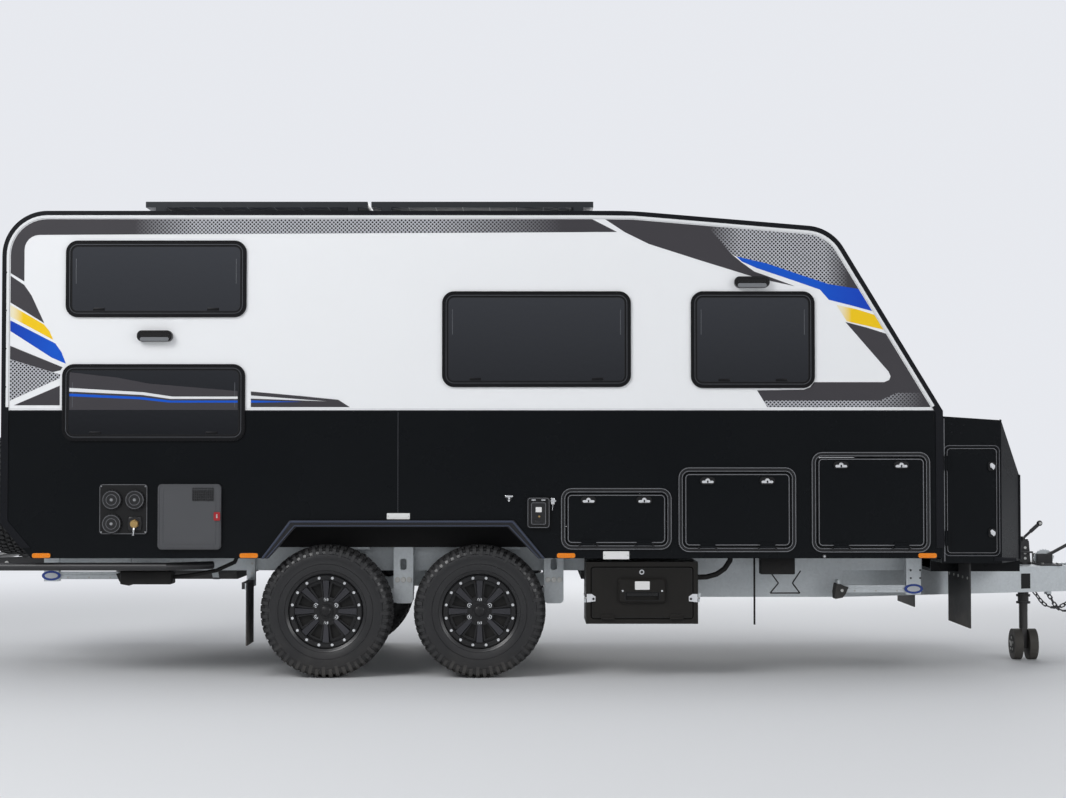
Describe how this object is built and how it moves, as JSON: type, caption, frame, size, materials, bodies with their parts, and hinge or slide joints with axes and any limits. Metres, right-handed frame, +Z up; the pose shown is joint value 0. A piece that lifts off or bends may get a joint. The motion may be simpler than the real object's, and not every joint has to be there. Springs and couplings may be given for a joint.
{
  "type": "tandem-axle travel caravan",
  "caption": "Off-road travel caravan on its jockey wheels: sloping nose, front boot, underslung toolbox, hatches and doors that open, drop-down corner legs and a rear spare wheel.",
  "frame": {"origin": "on the ground, in the middle of the whole outline from rear bar to coupling and from side to side", "axes": "+X forward to the coupling, +Y to the left (door) side, +Z up"},
  "size_m": [7.66, 2.595, 2.885],
  "materials": {
    "white_wall": "smooth white composite sheet",
    "black_wall": "satin black composite sheet",
    "galvanised": "hot-dip galvanised steel with soft spangle",
    "black_steel": "satin black powder coat",
    "rim_black": "satin black alloy",
    "tyre_rubber": "matt tyre rubber",
    "flap_rubber": "matt rubber sheet",
    "dark_glass": "dark tinted acrylic",
    "black_plastic": "fine-grained moulded plastic",
    "grey_plastic": "moulded grey plastic",
    "tank_plastic": "rotomoulded tank plastic behind guards",
    "lamp_lens": "amber lens",
    "solar_cells": "dark cells under glass in an aluminium frame",
    "white_plastic": "white moulded plastic",
    "silver_alloy": "anodised extrusion",
    "floor_ply": "sealed ply and glass-fibre sheet"
  },
  "bodies": {
    "root": {"main_rails": "galvanised", "cross_members": "galvanised", "drawbar_rails": "galvanised", "coupling": "black_steel", "handbrake": "black_steel", "jack_tube": "black_steel", "trailing_arms": "galvanised", "springs_and_dampers": "black_steel", "hanger_brackets": "galvanised", "floor_panel": "floor_ply", "wheel_boxes": "black_plastic", "side_wall_upper_right": "white_wall", "side_wall_lower_right": "black_wall", "side_wall_upper_left": "white_wall", "side_wall_lower_left": "black_wall", "roof_panel": "white_wall", "rear_wall": "white_wall", "front_wall": "black_wall", "edge_mouldings": "black_steel", "wheel_arch_trims": "black_plastic", "window_frames": "black_plastic", "window_panes": "dark_glass", "boot_shell": "black_wall", "opening_frames": "black_plastic", "toolbox_shell": "black_steel", "water_tanks": "tank_plastic", "rear_bumper": "black_steel", "spare_tyre": "tyre_rubber", "spare_rim": "rim_black", "mud_flaps": "flap_rubber", "solar_panels": "solar_cells", "roof_hatches": "white_plastic", "road_lamps": "lamp_lens", "wall_fittings": "black_plastic", "heater_cover": "grey_plastic", "awning_cassette": "silver_alloy"},
    "wheel_rear_right": {"tyre_rear_right": "tyre_rubber", "rim_rear_right": "rim_black"},
    "wheel_rear_left": {"tyre_rear_left": "tyre_rubber", "rim_rear_left": "rim_black"},
    "wheel_front_right": {"tyre_front_right": "tyre_rubber", "rim_front_right": "rim_black"},
    "wheel_front_left": {"tyre_front_left": "tyre_rubber", "rim_front_left": "rim_black"},
    "galley_hatch": {"galley_hatch": "black_wall"},
    "middle_hatch": {"middle_hatch": "black_wall"},
    "tunnel_hatch_right": {"tunnel_hatch_right": "black_wall"},
    "tunnel_hatch_left": {"tunnel_hatch_left": "black_wall"},
    "entry_door": {"entry_door": "white_wall", "entry_door_pane": "dark_glass"},
    "boot_door_right": {"boot_door_right": "black_wall"},
    "boot_door_left": {"boot_door_left": "black_wall"},
    "toolbox_door": {"toolbox_door": "black_steel"},
    "corner_leg_rear_right": {"corner_leg_rear_right": "galvanised"},
    "corner_leg_rear_left": {"corner_leg_rear_left": "galvanised"},
    "corner_leg_front_right": {"corner_leg_front_right": "galvanised"},
    "corner_leg_front_left": {"corner_leg_front_left": "galvanised"},
    "jack_leg": {"jack_leg": "black_steel"},
    "jockey_wheels": {"jockey_wheels": "black_plastic"},
    "entry_step": {"entry_step": "silver_alloy"}
  },
  "joints": [
    {"name": "wheel_rear_right_spin", "type": "hinge", "parent": "root", "child": "wheel_rear_right", "pos_m": [-1.472, -1.0375, 0.4], "axis": [0, 1, 0], "continuous": true},
    {"name": "wheel_rear_left_spin", "type": "hinge", "parent": "root", "child": "wheel_rear_left", "pos_m": [-1.472, 1.0375, 0.4], "axis": [0, 1, 0], "continuous": true},
    {"name": "wheel_front_right_spin", "type": "hinge", "parent": "root", "child": "wheel_front_right", "pos_m": [-0.546, -1.0375, 0.4], "axis": [0, 1, 0], "continuous": true},
    {"name": "wheel_front_left_spin", "type": "hinge", "parent": "root", "child": "wheel_front_left", "pos_m": [-0.546, 1.0375, 0.4], "axis": [0, 1, 0], "continuous": true},
    {"name": "galley_hatch_hinge", "type": "hinge", "parent": "root", "child": "galley_hatch", "pos_m": [0.275, -1.246, 0.809], "axis": [1, 0, 0], "range_deg": [0, 150]},
    {"name": "middle_hatch_hinge", "type": "hinge", "parent": "root", "child": "middle_hatch", "pos_m": [1, -1.246, 0.794], "axis": [1, 0, 0], "range_deg": [0, 150]},
    {"name": "tunnel_hatch_right_hinge", "type": "hinge", "parent": "root", "child": "tunnel_hatch_right", "pos_m": [1.801, -1.246, 0.792], "axis": [1, 0, 0], "range_deg": [0, 150]},
    {"name": "tunnel_hatch_left_hinge", "type": "hinge", "parent": "root", "child": "tunnel_hatch_left", "pos_m": [1.801, 1.246, 0.792], "axis": [-1, 0, 0], "range_deg": [0, 150]},
    {"name": "entry_door_hinge", "type": "hinge", "parent": "root", "child": "entry_door", "pos_m": [0.545, 1.246, 1.685], "axis": [0, 0, -1], "range_deg": [0, 165]},
    {"name": "boot_door_right_hinge", "type": "hinge", "parent": "root", "child": "boot_door_right", "pos_m": [2.253, -1.218, 1.068], "axis": [0, 0, -1], "range_deg": [0, 110]},
    {"name": "boot_door_left_hinge", "type": "hinge", "parent": "root", "child": "boot_door_left", "pos_m": [2.253, 1.218, 1.068], "axis": [0, 0, 1], "range_deg": [0, 110]},
    {"name": "toolbox_door_hinge", "type": "hinge", "parent": "root", "child": "toolbox_door", "pos_m": [0.43, -1.212, 0.363], "axis": [1, 0, 0], "range_deg": [0, 90]},
    {"name": "corner_leg_rear_right_swing", "type": "hinge", "parent": "root", "child": "corner_leg_rear_right", "pos_m": [-3.178, -0.905, 0.603], "axis": [0, 1, 0], "range_deg": [0, 75]},
    {"name": "corner_leg_rear_left_swing", "type": "hinge", "parent": "root", "child": "corner_leg_rear_left", "pos_m": [-3.178, 0.905, 0.603], "axis": [0, 1, 0], "range_deg": [0, 75]},
    {"name": "corner_leg_front_right_swing", "type": "hinge", "parent": "root", "child": "corner_leg_front_right", "pos_m": [2.11, -0.905, 0.522], "axis": [0, -1, 0], "range_deg": [0, 65]},
    {"name": "corner_leg_front_left_swing", "type": "hinge", "parent": "root", "child": "corner_leg_front_left", "pos_m": [2.11, 0.905, 0.522], "axis": [0, -1, 0], "range_deg": [0, 65]},
    {"name": "jack_slide", "type": "slide", "parent": "root", "child": "jack_leg", "axis": [0, 0, 1], "range_m": [0, 0.155]},
    {"name": "jockey_wheel_spin", "type": "hinge", "parent": "jack_leg", "child": "jockey_wheels", "pos_m": [3.013, 0, 0.1], "axis": [1, 0, 0], "continuous": true},
    {"name": "entry_step_slide", "type": "slide", "parent": "root", "child": "entry_step", "axis": [0, 1, 0], "range_m": [0, 0.24]}
  ]
}
